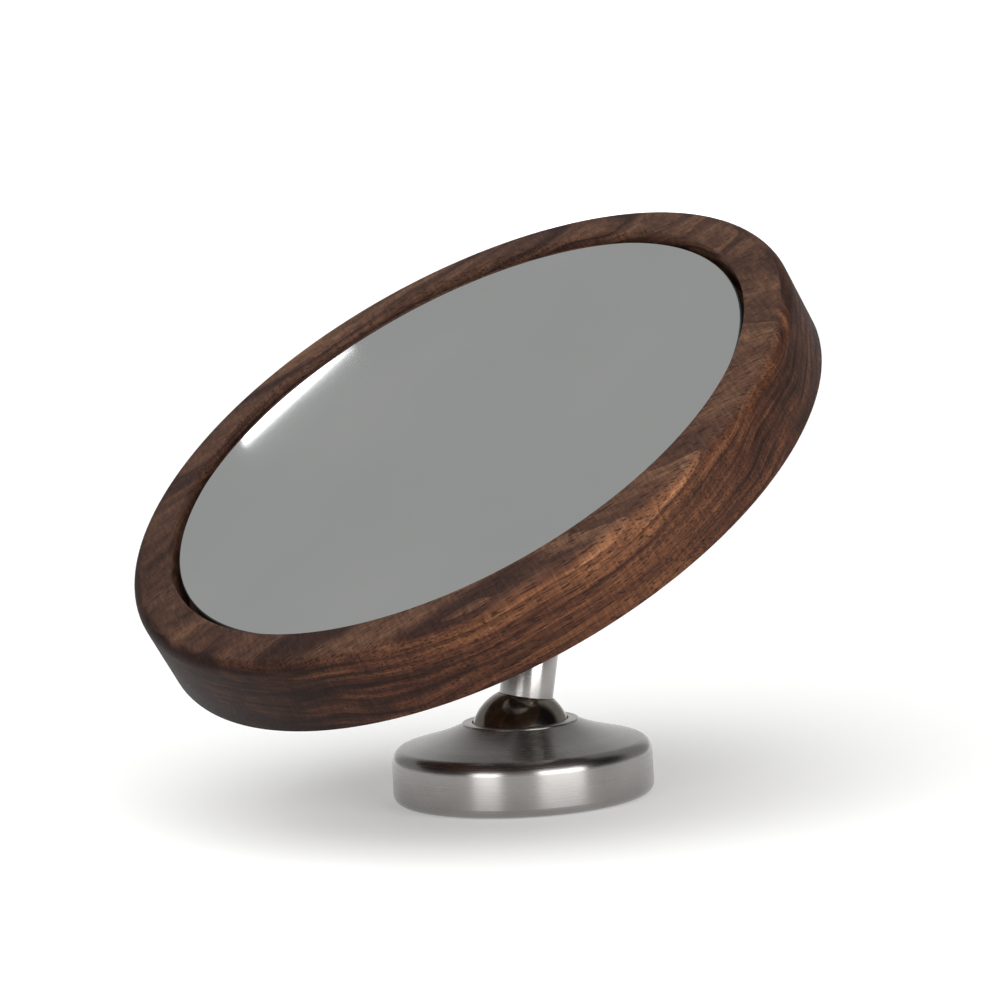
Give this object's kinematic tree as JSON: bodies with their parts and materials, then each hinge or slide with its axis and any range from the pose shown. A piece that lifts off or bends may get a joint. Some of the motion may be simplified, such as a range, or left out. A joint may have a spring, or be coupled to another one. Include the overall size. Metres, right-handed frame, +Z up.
{
  "type": "shaving mirror",
  "caption": "Round dished magnifying mirror in a thick turned walnut frame, on a short telescopic arm with a ball joint at each end and a round satin metal base.",
  "frame": {"origin": "centre of the underside of the base", "axes": "+Z up out of the base, the mirror faces -Y and leans back"},
  "size_m": [0.2, 0.1785, 0.1587],
  "materials": {
    "satin_nickel": "satin-brushed nickel plate",
    "polished_nickel": "polished nickel plate",
    "zinc_steel": "zinc-plated steel",
    "spring_steel": "blue-grey spring steel",
    "acetal": "natural white acetal",
    "rubber": "matt black rubber",
    "silicone_foam": "grey silicone foam",
    "walnut": "oiled walnut, long grain across the frame",
    "silvered_glass": "silvered float glass, dished for magnification"
  },
  "bodies": {
    "base": {"base_cover": "satin_nickel", "wall_plate": "zinc_steel", "backing_gasket": "rubber", "base_grub_screw": "zinc_steel", "base_clamp_ring": "zinc_steel", "base_wave_spring": "spring_steel"},
    "base_seat": {"base_seat_ring": "acetal"},
    "outer_arm": {"base_ball": "polished_nickel", "outer_tube": "satin_nickel", "guide_bush": "acetal", "tube_end_cap": "satin_nickel", "bore_bumper": "rubber"},
    "slide_sleeve": {"rod_sleeve": "acetal"},
    "inner_arm": {"inner_rod": "polished_nickel", "rod_foot_screw": "zinc_steel", "head_ball": "polished_nickel"},
    "head_seat": {"head_seat_cup": "acetal"},
    "mirror_head": {"head_socket": "satin_nickel", "head_wave_spring": "spring_steel", "head_pressure_plug": "zinc_steel", "flange_screw_1": "zinc_steel", "flange_screw_2": "zinc_steel", "flange_screw_3": "zinc_steel", "flange_screw_4": "zinc_steel", "wood_frame": "walnut", "mirror_bed": "silicone_foam", "mirror_glass": "silvered_glass"}
  },
  "joints": [
    {"name": "base_swivel", "type": "hinge", "parent": "base", "child": "base_seat", "pos_m": [0, 0, 0.017], "axis": [0, 0, 1], "continuous": true},
    {"name": "base_tilt", "type": "hinge", "parent": "base_seat", "child": "outer_arm", "pos_m": [0, 0, 0.017], "axis": [-0.9397, 0.342, 0], "range_deg": [-10.8, 24.2]},
    {"name": "arm_slide", "type": "slide", "parent": "outer_arm", "child": "slide_sleeve", "axis": [0.0641, 0.1761, 0.9823], "range_m": [0, 0.018]},
    {"name": "arm_twist", "type": "hinge", "parent": "slide_sleeve", "child": "inner_arm", "pos_m": [0.00283, 0.00778, 0.06042], "axis": [0.0641, 0.1761, 0.9823], "continuous": true},
    {"name": "head_tilt", "type": "hinge", "parent": "inner_arm", "child": "head_seat", "pos_m": [0.00283, 0.00778, 0.06042], "axis": [0.9956, -0.0789, -0.0508], "range_deg": [-43.1, 4.9]},
    {"name": "head_spin", "type": "hinge", "parent": "head_seat", "child": "mirror_head", "pos_m": [0.00283, 0.00778, 0.06042], "axis": [0, -0.5417, 0.8406], "continuous": true}
  ]
}
